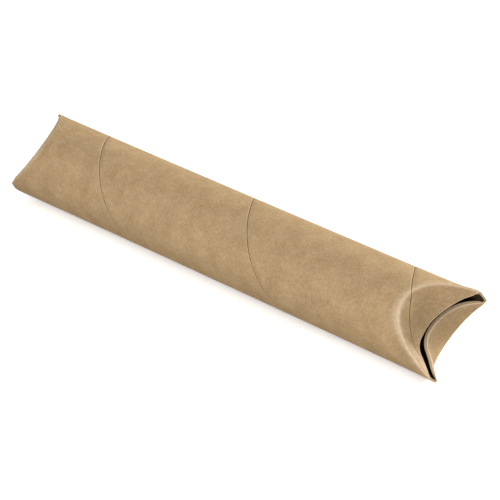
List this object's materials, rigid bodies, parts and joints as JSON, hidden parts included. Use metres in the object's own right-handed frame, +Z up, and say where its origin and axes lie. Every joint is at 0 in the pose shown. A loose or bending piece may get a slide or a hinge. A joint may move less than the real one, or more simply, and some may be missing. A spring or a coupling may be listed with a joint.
{
  "type": "mailing tube",
  "caption": "Spiral-wound kraft board tube lying on its side, with both ends closed by curved flaps folded in to a slit, for posting rolled papers.",
  "frame": {"origin": "on the surface that the tube lies on, below the middle of its axis", "axes": "+X along the tube's axis, +Z up; the tube lies rolled about X so that one flap of each end faces up and towards -Y"},
  "size_m": [0.355, 0.0538, 0.0538],
  "materials": {
    "kraft_board": "matt brown kraft liner on wound grey-brown board"
  },
  "bodies": {
    "root": {"tube": "kraft_board"}
  },
  "joints": []
}
